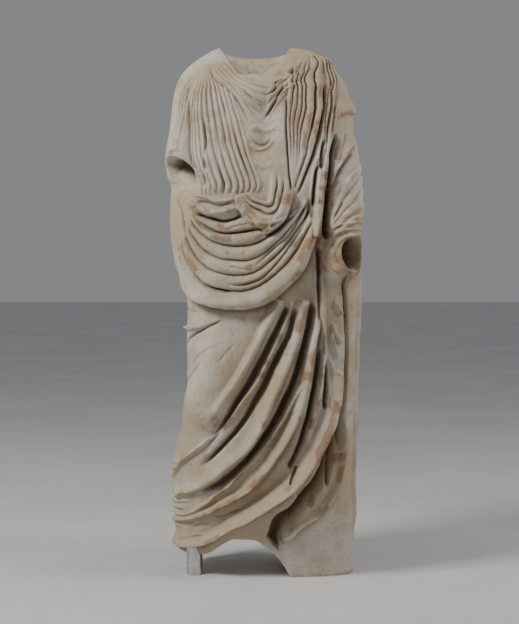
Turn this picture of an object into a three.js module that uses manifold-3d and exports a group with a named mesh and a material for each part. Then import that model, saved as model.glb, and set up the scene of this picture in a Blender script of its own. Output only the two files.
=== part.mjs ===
// A headless marble statue of a man in a toga, and the steel rod that holds up its broken side.
// Millimetres, +Z up. The figure faces -Y, and its own right arm is on the -X side.
//
// The marble is one closed skin round an upright axis. A place on it is [bearing, height]:
// the bearing in degrees, 0 at the front, 90 at its left arm and 180 at the back, and the height
// in mm. A plain form comes first, and the drapery is then raised from it or sunk into it.
import * as THREE from 'three';
import { SimplifyModifier } from 'three/addons/modifiers/SimplifyModifier.js';
import { mergeVertices } from 'three/addons/utils/BufferGeometryUtils.js';
import Module from 'manifold-3d';

// ---- Driving sizes ----
const HEIGHT = 1496;
const AXIS_Y = -15;
const NECK_FLOOR = 1418;
const FOOT_BLEND = 260;

// How far the skin lies from the axis, as [height, offset].
const RIGHT_SIDE = [
  [0, -252], [190, -260], [300, -264], [396, -241], [497, -226], [541, -220], [773, -222], [831, -241],
  [889, -258], [1005, -271], [1092, -268], [1179, -285], [1324, -265], [1411, -244], [1440, -223],
  [1469, -186], [1496, -138],
];
const LEFT_SIDE = [
  [0, 256], [251, 253], [512, 261], [686, 267], [880, 280], [1106, 279], [1208, 270], [1318, 256],
  [1396, 235], [1434, 208], [1457, 196], [1469, 177], [1489, 139], [1496, 92],
];
const FRONT = [
  [0, -128], [200, -158], [440, -178], [600, -180], [900, -196], [1000, -196], [1200, -170],
  [1400, -130], [1450, -114], [1496, -96],
];
const BACK = [[0, 125], [200, 135], [600, 150], [780, 165], [1000, 150], [1300, 140], [1400, 115], [1496, 62]];

// How square the plan is: 2 is an ellipse, and more is squarer.
const SQUARENESS = [[0, 2.6], [300, 2.5], [700, 2.4], [1000, 2.4], [1200, 2.5], [1400, 2.3], [1496, 2.1]];

// The neckline sinks at the front, and a little at the back.
const FRONT_DIP = [[1270, 0], [1350, -10], [1400, -27], [1450, -50], [1480, -70], [1496, -84]];
const BACK_DIP = [[1300, 0], [1400, -6], [1496, -14]];

// The broken underside, as [x, height]: only the block beside the left foot reaches the floor.
const UNDERSIDE = [
  [-260, 78], [-200, 58], [-165, 62], [-113, 92], [-84, 106], [-30, 104], [6, 84], [32, 62], [58, 28],
  [78, 0], [260, 0],
];

// Sockets where the right forearm and the left hand were set in: middle, half width, half height,
// depth, and the way in.
const SOCKETS = [
  { at: [-236, -150, 1136], wide: 40, tall: 35, depth: 72, way: [0.45, 0.88, 0.12] },
  { at: [225, -212, 905], wide: 26, tall: 37, depth: 72, way: [-0.1, 1, 0.05] },
];

const ROD = { x: -197, y: -85, radius: 23, top: 92 };
const FIT_GAP = 0.3;

// The skin is worked out on a fine net, and then thinned to the points that its shape needs.
const COLUMNS = 352;
const FRONT_COLUMNS = 240;
const BODY_ROWS = 330;
const FOOT_RINGS = 10;
const NECK_RINGS = 12;
const KEPT_POINTS = 4650;

const MARBLE = new THREE.MeshStandardMaterial({ color: 0xc0ab90, roughness: 0.75, metalness: 0 });
const STEEL = new THREE.MeshStandardMaterial({ color: 0xb9bbbd, roughness: 0.22, metalness: 1 });

// ---- Small tools ----

// A smooth value between knots of [place, value], which never swings past them.
function curve(knots, place) {
  const x = Math.min(Math.max(place, knots[0][0]), knots.at(-1)[0]);
  let i = 0;
  while (i < knots.length - 2 && x > knots[i + 1][0]) i++;
  const rate = (k) => (knots[k + 1][1] - knots[k][1]) / (knots[k + 1][0] - knots[k][0]);
  const slope = (k) => {
    if (k === 0) return rate(0);
    if (k === knots.length - 1) return rate(k - 1);
    const [before, after] = [rate(k - 1), rate(k)];
    return before * after > 0 ? (2 * before * after) / (before + after) : 0;
  };
  const step = knots[i + 1][0] - knots[i][0];
  const t = (x - knots[i][0]) / step;
  const [a, b] = [knots[i][1], knots[i + 1][1]];
  const [ma, mb] = [slope(i) * step, slope(i + 1) * step];
  return a + t * (ma + t * (3 * (b - a) - 2 * ma - mb + t * (2 * (a - b) + ma + mb)));
}

function ease(t) {
  return THREE.MathUtils.smoothstep(t, 0, 1);
}

// A value that is one number, or a list spread evenly along a fold.
function spread(value, share) {
  if (!Array.isArray(value)) return value;
  const place = share * (value.length - 1);
  const i = Math.min(Math.floor(place), value.length - 2);
  return THREE.MathUtils.lerp(value[i], value[i + 1], place - i);
}

// ---- The plain form ----

function plainPoint(bearing, height) {
  const angle = THREE.MathUtils.degToRad(bearing);
  const [s, c] = [Math.sin(angle), Math.cos(angle)];
  const sheer = 0.9 * ease(s) * ease(2 * c) * ease((1350 - height) / 300);
  const square = curve(SQUARENESS, height) + sheer;
  const reach = (Math.abs(s) ** square + Math.abs(c) ** square) ** (1 / square);
  const [right, left] = [curve(RIGHT_SIDE, height), curve(LEFT_SIDE, height)];
  const depth = c > 0 ? AXIS_Y - curve(FRONT, height) : curve(BACK, height) - AXIS_Y;
  const wrapped = THREE.MathUtils.euclideanModulo(bearing + 180, 360) - 180;
  const dip = c > 0
    ? curve(FRONT_DIP, height) * ease((wrapped + 66) / 50) * ease((60 - wrapped) / 38)
    : curve(BACK_DIP, height) * c * c;
  return new THREE.Vector3(
    (left + right) / 2 + ((left - right) / 2) * (s / reach),
    AXIS_Y - depth * (c / reach),
    height + dip,
  );
}

// ---- The net of the body, and the carving on it ----

const columnBearing = (i) => (i <= FRONT_COLUMNS
  ? -100 + (200 * i) / FRONT_COLUMNS
  : 100 + (160 * (i - FRONT_COLUMNS)) / (COLUMNS - FRONT_COLUMNS));
const rowHeight = (j) => (HEIGHT * j) / BODY_ROWS;

const body = [];
for (let j = 0; j <= BODY_ROWS; j++) {
  for (let i = 0; i < COLUMNS; i++) {
    const [bearing, height] = [columnBearing(i), rowHeight(j)];
    const across = plainPoint(bearing + 0.5, height).sub(plainPoint(bearing - 0.5, height));
    const up = plainPoint(bearing, height + 2).sub(plainPoint(bearing, height - 2));
    const outward = across.clone().cross(up).normalize();
    body.push({ bearing, height, perDegree: across.length(), outward, raised: 0 });
  }
}

// Points of the net within reach of some places, with the bearing that brings each one near them.
function* netNear(places, reach) {
  const bearings = places.map((p) => p[0]);
  const heights = places.map((p) => p[1]);
  const [low, high] = [Math.min(...heights) - reach, Math.max(...heights) + reach];
  const pad = reach / 2.2;
  const columns = [];
  for (let i = 0; i < COLUMNS; i++) {
    for (const bearing of [-360, 0, 360].map((turn) => columnBearing(i) + turn)) {
      if (bearing < Math.min(...bearings) - pad || bearing > Math.max(...bearings) + pad) continue;
      columns.push([i, bearing]);
    }
  }
  const perRow = BODY_ROWS / HEIGHT;
  const lastRow = Math.min(BODY_ROWS, Math.floor(high * perRow));
  for (let j = Math.max(0, Math.ceil(low * perRow)); j <= lastRow; j++) {
    for (const [i, bearing] of columns) yield [body[j * COLUMNS + i], bearing];
  }
}

const MM_PER_DEGREE = 3.8;

// A smooth line over the skin through a few places, as evenly spaced [bearing, height].
function guide(places, steps) {
  const points = places.map(([bearing, height]) => new THREE.Vector2(bearing * MM_PER_DEGREE, height));
  return new THREE.SplineCurve(points).getSpacedPoints(steps).map((p) => [p.x / MM_PER_DEGREE, p.y]);
}

// One fold along a line: it stands up by rise, or is sunk where rise is negative, and falls away
// over left and right of the way the line is drawn. fade is the share of each end that runs out.
function fold(places, { rise, left, right, fade = [0.1, 0.1] }) {
  const steps = (places.length - 1) * 5;
  const line = guide(places, steps);
  const reach = Math.max(...[left, right].flat());
  for (const [point, bearing] of netNear(line, reach)) {
    let [nearest, side, share] = [Infinity, 1, 0];
    for (let k = 0; k < steps; k++) {
      const ex = (line[k + 1][0] - line[k][0]) * point.perDegree;
      const ey = line[k + 1][1] - line[k][1];
      const dx = (bearing - line[k][0]) * point.perDegree;
      const dy = point.height - line[k][1];
      const t = THREE.MathUtils.clamp((dx * ex + dy * ey) / (ex * ex + ey * ey), 0, 1);
      const distance = Math.hypot(dx - t * ex, dy - t * ey);
      if (distance < nearest) [nearest, side, share] = [distance, ex * dy - ey * dx, (k + t) / steps];
    }
    const width = spread(side > 0 ? left : right, share);
    const shape = (1 + Math.cos(Math.PI * Math.min(nearest / width, 1))) / 2;
    const ends = ease(share / fade[0]) * ease((1 - share) / fade[1]);
    point.raised += spread(rise, share) * shape * ends;
  }
}

// Folds side by side between two lines, bulging towards a middle one. valleys are the shares of
// the way across where one fold meets the next, and rise is the height of each fold.
function gather({ first, middle, last, valleys, rise, crown = 0.7, fade = [0.1, 0.05] }) {
  const [steps, lanes] = [22, 8];
  const [a, b] = [guide(first, steps), guide(last, steps)];
  const m = middle ? guide(middle, steps) : a.map((p, k) => [(p[0] + b[k][0]) / 2, (p[1] + b[k][1]) / 2]);
  const corner = (k, lane) => {
    const c = lane / lanes;
    const weights = [(1 - c) * (1 - 2 * c), 4 * c * (1 - c), c * (2 * c - 1)];
    const place = [0, 1].map((d) => weights[0] * a[k][d] + weights[1] * m[k][d] + weights[2] * b[k][d]);
    return { place, along: k / steps, across: c };
  };
  const found = new Map();
  for (let k = 0; k < steps; k++) {
    for (let lane = 0; lane < lanes; lane++) {
      const quad = [corner(k, lane), corner(k + 1, lane), corner(k + 1, lane + 1), corner(k, lane + 1)];
      for (const [p, q, r] of [[quad[0], quad[1], quad[2]], [quad[0], quad[2], quad[3]]]) {
        locate(p, q, r, found);
      }
    }
  }
  for (const [point, { along, across }] of found) {
    if (across < valleys[0] || across > valleys.at(-1)) continue;
    let k = 0;
    while (k < valleys.length - 2 && across > valleys[k + 1]) k++;
    const share = (across - valleys[k]) / (valleys[k + 1] - valleys[k]);
    const [from, to] = [spreadPoint(a, along), spreadPoint(b, along)];
    const breadth = Math.hypot((to[0] - from[0]) * MM_PER_DEGREE, to[1] - from[1]) * (valleys[k + 1] - valleys[k]);
    const ends = ease(along / fade[0]) * ease((1 - along) / fade[1]);
    point.raised += Math.min(rise[k % rise.length], 0.55 * breadth) * Math.sin(Math.PI * share) ** crown * ends;
  }
}

function spreadPoint(line, share) {
  return [0, 1].map((d) => spread(line.map((p) => p[d]), share));
}

// Notes, for each net point inside a triangle of a gather, where it lies along and across it.
function locate(p, q, r, found) {
  const [[px, py], [qx, qy], [rx, ry]] = [p.place, q.place, r.place];
  const area = (qx - px) * (ry - py) - (rx - px) * (qy - py);
  if (Math.abs(area) < 1e-6) return;
  const slack = 1e-4;
  for (const [point, bearing] of netNear([p.place, q.place, r.place], 0)) {
    const v = ((bearing - px) * (ry - py) - (rx - px) * (point.height - py)) / area;
    const w = ((qx - px) * (point.height - py) - (bearing - px) * (qy - py)) / area;
    if (v < -slack || w < -slack || v + w > 1 + slack) continue;
    const blend = (key) => p[key] * (1 - v - w) + q[key] * v + r[key] * w;
    found.set(point, { along: blend('along'), across: blend('across') });
  }
}

// ---- The drapery ----

// Great forms under the cloth: the forward thigh, the belly, the right arm's root and the left
// forearm that carries the cloth.
fold([[-33, 710], [-40, 585], [-45, 455], [-43, 345]],
  { rise: [18, 34, 40, 10], left: 120, right: 110, fade: [0.3, 0.3] });
fold([[-38, 885], [-17, 855], [4, 895]], { rise: 16, left: 90, right: 60, fade: [0.3, 0.3] });
fold([[-65, 1315], [-53, 1200], [-56, 1100]], { rise: [4, 22, 34], left: 60, right: 60, fade: [0.3, 0.1] });
fold([[51, 1085], [46, 985], [44, 885], [46, 805]],
  { rise: [14, 44, 60, 30], left: 70, right: 75, fade: [0.2, 0.25] });
fold([[1, 1380], [1, 1265], [-2, 1155]], { rise: -14, left: 55, right: 50, fade: [0.3, 0.3] });

// The tunic's fan of folds from the right shoulder down to the roll.
gather({
  first: [[-52, 1465], [-47, 1410], [-47, 1315], [-44, 1225], [-41, 1155], [-39, 1070]],
  last: [[-47, 1475], [-23, 1415], [-14, 1315], [-9, 1230], [-4, 1160], [-2, 1105], [-4, 1070]],
  valleys: [0, 0.14, 0.32, 0.5, 0.65, 0.83, 1],
  rise: [10, 13, 12, 13, 11, 12],
});

// Folds that hang in a V at the neck, from either shoulder.
gather({
  first: [[-50, 1485], [-32, 1495], [-10, 1455], [2, 1425], [10, 1430]],
  last: [[-47, 1470], [-22, 1405], [-11, 1320], [-4, 1285], [1, 1275]],
  valleys: [0, 0.3, 0.62, 1],
  rise: [9, 8, 8],
});
gather({
  first: [[43, 1495], [28, 1490], [9, 1420], [4, 1395]],
  last: [[16, 1380], [10, 1330], [5, 1300], [0, 1270]],
  valleys: [0, 0.5, 1],
  rise: [12, 12],
});

// The bundle that comes over the left shoulder: one part turns in to the pouch of the umbo, and
// the other falls past it.
gather({
  first: [[52, 1495], [26, 1485], [15, 1345], [15, 1265], [15, 1195], [14, 1130], [14, 1050]],
  last: [[57, 1470], [44, 1410], [39, 1345], [36, 1265], [31, 1215], [27, 1165], [22, 1120], [16, 1045]],
  valleys: [0, 0.27, 0.51, 0.77, 1],
  rise: [12, 12, 13, 13],
  fade: [0.01, 0.05],
});
gather({
  first: [[58, 1470], [39, 1345], [35, 1255], [30, 1180], [26, 1125], [24, 1055]],
  last: [[72, 1455], [53, 1355], [47, 1285], [40, 1195], [35, 1110], [33, 960]],
  valleys: [0, 0.5, 1],
  rise: [14, 14],
  fade: [0.01, 0.1],
});
fold([[44, 1410], [36, 1275], [28, 1175], [17, 1060]], { rise: -20, left: 9, right: 9 });
fold([[15, 1345], [15, 1195], [14, 1060]], { rise: -14, left: 8, right: 8 });
fold([[46, 1255], [39, 1180], [34, 1090], [34, 945]],
  { rise: [-20, -40, -48, -46], left: 13, right: 13, fade: [0.2, 0.1] });
fold([[33, 1155], [30, 1085], [28, 950]], { rise: 18, left: 12, right: 14, fade: [0.2, 0.05] });

// The cloth round the left arm, down to the socket of the hand.
fold([[84, 1310], [59, 1305], [45, 1290]], { rise: 11, left: 7, right: 60, fade: [0.02, 0.2] });
fold([[58, 1195], [46, 1155], [40, 1120], [36, 1080], [34, 1025]], { rise: -16, left: 10, right: 9 });
gather({
  first: [[64, 1180], [46, 1120], [40, 1065], [35, 995]],
  last: [[81, 1025], [49, 995], [41, 970], [34, 940]],
  valleys: [0, 0.34, 0.66, 1],
  rise: [10, 9, 10],
});

// The overfold: hanging curves from under the right arm up to the left shoulder's bundle.
const HEM = [[-66, 920], [-65, 860], [-62, 800], [-34, 760], [-7, 770], [16, 845], [26, 930], [29, 1015]];
fold(HEM, { rise: [2, 22, 34, 34, 34, 30, 24], left: [30, 70, 90, 90, 40], right: 8, fade: [0.04, 0.04] });
gather({
  first: [[-46, 1050], [-36, 1010], [-25, 995], [-13, 1010], [0, 995], [14, 1015], [23, 1055]],
  middle: [[-49, 995], [-44, 945], [-35, 900], [-22, 880], [-8, 885], [4, 925], [16, 985], [24, 1045]],
  last: [[-61, 935], [-61, 855], [-54, 775], [-34, 760], [-7, 770], [16, 845], [26, 945]],
  valleys: [0, 0.15, 0.3, 0.46, 0.62, 0.8, 1],
  rise: [12, 16, 15, 13, 15, 11],
});
fold([[-42, 1020], [-32, 1005], [-25, 995], [-13, 1015]], { rise: -22, left: 9, right: 9 });

// The roll across the waist, and the umbo pulled down over it.
fold([[-47, 1055], [-39, 1035], [-27, 1020], [-14, 1035]], { rise: 18, left: 14, right: 16 });
fold([[-17, 1065], [-15, 1035], [-9, 995], [2, 970], [8, 990], [14, 1040], [14, 1095]],
  { rise: [4, 16, 22, 20, 18, 14, 6], left: [14, 34, 40, 40, 34, 30], right: 7, fade: [0.05, 0.2] });
gather({
  first: [[-14, 1075], [-8, 1065], [-3, 1055], [0, 1055], [2, 1085], [4, 1145]],
  middle: [[-12, 1060], [-8, 1040], [-2, 1030], [3, 1020], [6, 1040], [10, 1140]],
  last: [[-16, 1055], [-10, 1015], [-2, 980], [7, 995], [13, 1040], [14, 1135]],
  valleys: [0, 0.32, 0.62, 1],
  rise: [10, 12, 12],
  fade: [0.06, 0.3],
});

// The great folds of the lower half sweep from the right ankle up to the left hip. Each crest
// drops sheer on its upper side, into a trench.
const SWEEPS = [
  { crest: [[5, 780], [-3, 710], [-14, 615], [-26, 520], [-37, 430]], rise: [16, 30, 30, 22, 6], reach: 26 },
  { crest: [[12, 785], [8, 715], [-8, 565], [-19, 490], [-36, 390], [-71, 265]], rise: [12, 18, 18, 12], reach: 15 },
  {
    crest: [[22, 785], [18, 715], [12, 620], [3, 520], [-8, 390], [-22, 310], [-40, 250], [-68, 200]],
    rise: [20, 26, 30, 32, 30, 26, 18, 10],
    reach: 36,
  },
  { crest: [[23, 570], [9, 445], [-4, 355], [-18, 270], [-39, 180], [-60, 142]], rise: [8, 17, 14, 8], reach: 14 },
  {
    crest: [[29, 920], [30, 780], [27, 665], [24, 575], [20, 485], [12, 385], [0, 290], [-22, 190], [-47, 135],
      [-75, 100]],
    rise: [14, 20, 24, 28, 30, 30, 26, 20, 14, 8],
    reach: 30,
  },
  {
    crest: [[45, 605], [44, 520], [41, 445], [33, 355], [23, 280], [7, 200], [-14, 95], [-34, 45], [-75, 10]],
    rise: [16, 24, 34, 44, 50, 50, 40, 24, 10],
    reach: 46,
  },
];
for (const { crest, rise, reach } of SWEEPS) {
  fold(crest, { rise, left: 10, right: reach, fade: [0.03, 0.05] });
}
const TRENCHES = [
  { line: [[10, 765], [2, 690], [-9, 590], [-20, 510], [-32, 410], [-42, 360]], depth: 30 },
  { line: [[15, 765], [11, 685], [2, 600], [-6, 535], [-16, 455], [-27, 370], [-40, 300]], depth: 30 },
  { line: [[25, 780], [23, 680], [18, 590], [11, 510], [1, 420], [-11, 330], [-24, 270], [-42, 225]], depth: 42 },
  { line: [[30, 655], [28, 545], [25, 445], [20, 365], [16, 305]], depth: 42 },
];
for (const { line, depth } of TRENCHES) {
  fold(line, { rise: -depth, left: 14, right: 14, fade: [0.08, 0.2] });
}

// Behind the front hem the stone is cut back, and a second edge of cloth comes down to the block.
fold([[45, 500], [40, 390], [33, 290], [21, 220], [7, 135], [1, 30]],
  { rise: [-20, -50, -60, -60, -60, -50], left: 40, right: 9, fade: [0.1, 0.02] });
fold([[52, 445], [50, 345], [44, 245], [35, 185], [22, 145], [10, 85]],
  { rise: [8, 14, 18, 20, 20, 16], left: 7, right: 20, fade: [0.1, 0.02] });

// Deep channels beside the cloth that falls from the left arm, and the knee's pulled folds.
fold([[43, 860], [46, 780], [50, 640], [49, 500], [47, 385], [45, 325]],
  { rise: [-20, -30, -40, -40, -24, -12], left: 10, right: 10, fade: [0.05, 0.15] });
fold([[29, 930], [28, 805], [29, 695]], { rise: [-34, -30, -16], left: 12, right: 10, fade: [0.1, 0.2] });
fold([[-84, 695], [-57, 700], [-44, 715]], { rise: [6, 12, 10], left: 9, right: 9, fade: [0.1, 0.3] });
fold([[-85, 645], [-53, 685], [-42, 710], [-29, 730]], { rise: -12, left: 7, right: 8, fade: [0.03, 0.2] });

// The back is plainer: the toga is drawn from the left shoulder down round to the right hip, and
// below that it falls to the ankles.
gather({
  first: [[178, 1400], [205, 1230], [235, 1060], [268, 920]],
  last: [[112, 1400], [130, 1120], [170, 830], [230, 560], [268, 440]],
  valleys: [0, 0.16, 0.3, 0.47, 0.62, 0.8, 1],
  rise: [14, 18, 15, 18, 16, 14],
  fade: [0.15, 0.15],
});
gather({
  first: [[118, 1240], [138, 900], [180, 560], [232, 300], [270, 190]],
  last: [[96, 900], [104, 560], [118, 260], [134, 20]],
  valleys: [0, 0.2, 0.38, 0.58, 0.78, 1],
  rise: [16, 18, 16, 18, 15],
  fade: [0.15, 0.03],
});
gather({
  first: [[62, 830], [64, 600], [66, 400], [66, 180]],
  last: [[96, 900], [104, 560], [112, 300], [120, 20]],
  valleys: [0, 0.35, 0.68, 1],
  rise: [13, 15, 14],
  fade: [0.15, 0.1],
});

// ---- The skin ----

// The finished place of a body point: raised along its own outward way, level near the underside,
// with the foot of the skin lifted to the broken underside.
function bodyPoint({ bearing, height, outward, raised }) {
  const way = outward.clone().setZ(outward.z * ease(height / 120));
  const point = plainPoint(bearing, height).addScaledVector(way, raised);
  if (point.z < FOOT_BLEND) point.z = foot(point.x) + point.z * (1 - foot(point.x) / FOOT_BLEND);
  return point;
}

function foot(x) {
  return curve(UNDERSIDE, x);
}

const carved = body.map(bodyPoint);
const footRim = carved.slice(0, COLUMNS);
const neckRim = carved.slice(-COLUMNS);
const middleOf = (points) => points
  .reduce((sum, point) => sum.add(point), new THREE.Vector3())
  .divideScalar(points.length);
const footMiddle = middleOf(footRim);
footMiddle.setZ(foot(footMiddle.x));
const neckMiddle = middleOf(neckRim).setZ(NECK_FLOOR);

// Rings of points from the middle of the underside, up the body, and down into the broken neck.
function skinRings() {
  const rings = [];
  for (let k = 1; k < FOOT_RINGS; k++) {
    rings.push(footRim.map((rim) => {
      const point = footMiddle.clone().lerp(rim, k / FOOT_RINGS);
      return point.setZ(foot(point.x));
    }));
  }
  for (let j = 0; j <= BODY_ROWS; j++) rings.push(carved.slice(j * COLUMNS, (j + 1) * COLUMNS));
  for (let k = 1; k < NECK_RINGS; k++) {
    const share = k / NECK_RINGS;
    rings.push(neckRim.map((rim) => {
      const point = rim.clone().lerp(neckMiddle, share);
      return point.setZ(THREE.MathUtils.lerp(rim.z, NECK_FLOOR, share ** 0.6));
    }));
  }
  return rings;
}

async function skin() {
  const rings = skinRings();
  const top = rings.length - 1;
  const points = [...rings.flat(), footMiddle, neckMiddle];
  const [low, high] = [points.length - 2, points.length - 1];
  const at = (i, ring) => ring * COLUMNS + (i % COLUMNS);
  const faces = [];
  for (let i = 0; i < COLUMNS; i++) {
    faces.push([low, at(i + 1, 0), at(i, 0)], [high, at(i, top), at(i + 1, top)]);
    for (let ring = 0; ring < top; ring++) {
      faces.push([at(i, ring), at(i + 1, ring), at(i + 1, ring + 1)]);
      faces.push([at(i, ring), at(i + 1, ring + 1), at(i, ring + 1)]);
    }
  }
  const geometry = new THREE.BufferGeometry().setFromPoints(points).setIndex(faces.flat());
  return new SimplifyModifier().modify(geometry, points.length - KEPT_POINTS);
}

// ---- Solids ----

const wasm = await Module();
wasm.setup();

function toSolid(geometry) {
  const bare = geometry.clone();
  bare.deleteAttribute('normal');
  bare.deleteAttribute('uv');
  const merged = mergeVertices(bare, 1e-3);
  return new wasm.Manifold(new wasm.Mesh({
    numProp: 3,
    vertProperties: new Float32Array(merged.attributes.position.array),
    triVerts: new Uint32Array(merged.index.array),
  }));
}

function toGeometry(solid) {
  const { vertProperties, triVerts } = solid.getMesh();
  const geometry = new THREE.BufferGeometry();
  geometry.setAttribute('position', new THREE.Float32BufferAttribute(vertProperties, 3));
  geometry.setIndex(new THREE.Uint32BufferAttribute(triVerts, 1));
  geometry.computeVertexNormals();
  return geometry;
}

// An oval socket sunk from in front of the stone to its depth.
function socketCutter({ at, wide, tall, depth, way }) {
  const margin = 60;
  const geometry = new THREE.CylinderGeometry(1, 0.8, depth + margin, 24);
  geometry.translate(0, (margin - depth) / 2, 0);
  geometry.scale(wide, 1, tall);
  const inward = new THREE.Vector3(...way).normalize().negate();
  geometry.applyQuaternion(new THREE.Quaternion().setFromUnitVectors(new THREE.Vector3(0, 1, 0), inward));
  geometry.translate(...at);
  return toSolid(geometry);
}

async function marbleStatue() {
  let stone = toSolid(await skin());
  for (const socket of SOCKETS) stone = stone.subtract(socketCutter(socket));
  const seat = new THREE.CylinderGeometry(ROD.radius + FIT_GAP, ROD.radius + FIT_GAP, ROD.top + FIT_GAP, 40);
  seat.rotateX(Math.PI / 2).translate(ROD.x, ROD.y, (ROD.top + FIT_GAP) / 2);
  const mesh = new THREE.Mesh(toGeometry(stone.subtract(toSolid(seat))), MARBLE);
  mesh.name = 'marble_statue';
  return mesh;
}

function supportRod() {
  const geometry = new THREE.CylinderGeometry(ROD.radius, ROD.radius, ROD.top, 40);
  geometry.rotateX(Math.PI / 2).translate(0, 0, ROD.top / 2);
  const mesh = new THREE.Mesh(geometry, STEEL);
  mesh.name = 'support_rod';
  mesh.position.set(ROD.x, ROD.y, 0);
  return mesh;
}

const statue = new THREE.Group();
statue.add(await marbleStatue(), supportRod());

// The origin is on the floor, under the middle of the whole.
const middle = new THREE.Box3().setFromObject(statue).getCenter(new THREE.Vector3());
statue.position.set(-middle.x, -middle.y, 0);

export default statue;
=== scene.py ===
import math

import bpy
import numpy as np
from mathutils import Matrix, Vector


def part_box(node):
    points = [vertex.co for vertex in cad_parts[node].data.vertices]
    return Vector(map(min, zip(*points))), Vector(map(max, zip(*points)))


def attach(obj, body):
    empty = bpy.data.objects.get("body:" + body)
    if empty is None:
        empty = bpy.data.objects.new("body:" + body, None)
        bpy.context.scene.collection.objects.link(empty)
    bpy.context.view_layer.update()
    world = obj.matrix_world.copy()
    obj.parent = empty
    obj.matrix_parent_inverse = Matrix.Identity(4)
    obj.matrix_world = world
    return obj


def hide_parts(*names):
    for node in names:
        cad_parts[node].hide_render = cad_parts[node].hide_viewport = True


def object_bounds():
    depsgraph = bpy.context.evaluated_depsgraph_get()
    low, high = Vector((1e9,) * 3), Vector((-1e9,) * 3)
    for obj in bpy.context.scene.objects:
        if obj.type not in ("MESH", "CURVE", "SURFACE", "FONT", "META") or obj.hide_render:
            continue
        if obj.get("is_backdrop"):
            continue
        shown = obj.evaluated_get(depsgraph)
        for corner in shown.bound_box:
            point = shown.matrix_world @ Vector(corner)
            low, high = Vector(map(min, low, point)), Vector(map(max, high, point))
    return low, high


# A headless marble statue of a man in a toga. It stands on the block beside its left foot and on a
# steel rod under its broken right side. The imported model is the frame; this script gives the looks.
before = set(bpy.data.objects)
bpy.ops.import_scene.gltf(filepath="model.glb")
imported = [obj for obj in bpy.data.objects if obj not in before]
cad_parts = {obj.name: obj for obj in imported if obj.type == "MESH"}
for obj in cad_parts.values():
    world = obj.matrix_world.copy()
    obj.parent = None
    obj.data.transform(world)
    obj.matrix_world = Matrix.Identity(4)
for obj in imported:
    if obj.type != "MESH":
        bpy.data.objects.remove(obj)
cad_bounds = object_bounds()
bpy.ops.object.select_all(action="DESELECT")

# ---- The marble figure ----
# One block of warm, fine-grained marble, cut to a plain form and then carved. The carver raised each
# fold from that form, drove channels between the folds, and sank sockets for the lost hand and arm.
# Sizes here are in millimetres. A place on the stone is (bearing, height): the bearing in degrees
# round an upright axis, 0 at the front, 90 at the figure's left arm and 180 at the back.
HEIGHT = 1496
AXIS_Y = -15
NECK_FLOOR = 1418
FOOT_BLEND = 260
ROD_FROM_AXIS = (-197, -85)

# How far the skin lies from the axis, as (height, offset).
RIGHT_SIDE = [
    (0, -252), (80, -256), (190, -260), (300, -264), (338, -257), (396, -241), (454, -230), (497, -226),
    (541, -220), (640, -222), (744, -220), (773, -222), (831, -241), (889, -258), (947, -267), (1005, -271),
    (1048, -270), (1092, -268), (1135, -280), (1179, -285), (1266, -271), (1324, -265), (1367, -260),
    (1411, -244), (1440, -223), (1469, -186), (1488, -155), (1496, -138),
]
LEFT_SIDE = [
    (0, 256), (80, 260), (149, 258), (185, 257), (251, 253), (338, 256), (512, 261), (686, 267), (802, 273),
    (880, 280), (976, 279), (1106, 279), (1208, 270), (1266, 258), (1318, 256), (1367, 244), (1396, 235),
    (1434, 208), (1457, 196), (1469, 177), (1489, 139), (1496, 92),
]
FRONT = [
    (0, -128), (60, -140), (200, -158), (330, -170), (440, -178), (600, -180), (780, -188), (900, -196),
    (1000, -196), (1090, -186), (1200, -170), (1300, -150), (1400, -130), (1450, -114), (1496, -96),
]
BACK = [
    (0, 125), (200, 135), (440, 140), (600, 150), (780, 165), (900, 162), (1000, 150), (1090, 142),
    (1200, 142), (1300, 140), (1400, 115), (1450, 92), (1496, 62),
]
# How square the plan is: 2 is an ellipse, and more is squarer.
SQUARENESS = [(0, 2.6), (300, 2.5), (700, 2.4), (1000, 2.4), (1200, 2.5), (1400, 2.3), (1496, 2.1)]
# The neckline sinks at the front, and a little at the back.
FRONT_DIP = [(1270, 0), (1350, -10), (1400, -27), (1450, -50), (1480, -70), (1496, -84)]
BACK_DIP = [(1300, 0), (1400, -6), (1496, -14)]
# The broken underside, as (x, height): only the block beside the left foot reaches the floor.
UNDERSIDE = [
    (-260, 78), (-235, 64), (-200, 58), (-165, 62), (-113, 92), (-84, 106), (-30, 104), (6, 84), (32, 62),
    (58, 28), (78, 0), (260, 0),
]


def curve(knots, at):
    """A smooth value between knots of (place, value), which never swings past them."""
    places, values = np.array(knots, float).T
    at = np.clip(at, places[0], places[-1])
    step = np.diff(places)
    rate = np.diff(values) / step
    slope = np.empty(len(places))
    slope[0], slope[-1] = rate[0], rate[-1]
    before, after = rate[:-1], rate[1:]
    total = np.where(before + after == 0, 1, before + after)
    slope[1:-1] = np.where(before * after > 0, 2 * before * after / total, 0)
    i = np.clip(np.searchsorted(places, at, side="right") - 1, 0, len(places) - 2)
    t = (at - places[i]) / step[i]
    a, b = values[i], values[i + 1]
    ma, mb = slope[i] * step[i], slope[i + 1] * step[i]
    return a + t * (ma + t * (3 * (b - a) - 2 * ma - mb + t * (2 * (a - b) + ma + mb)))


def ease(t):
    t = np.clip(t, 0, 1)
    return t * t * (3 - 2 * t)


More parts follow.
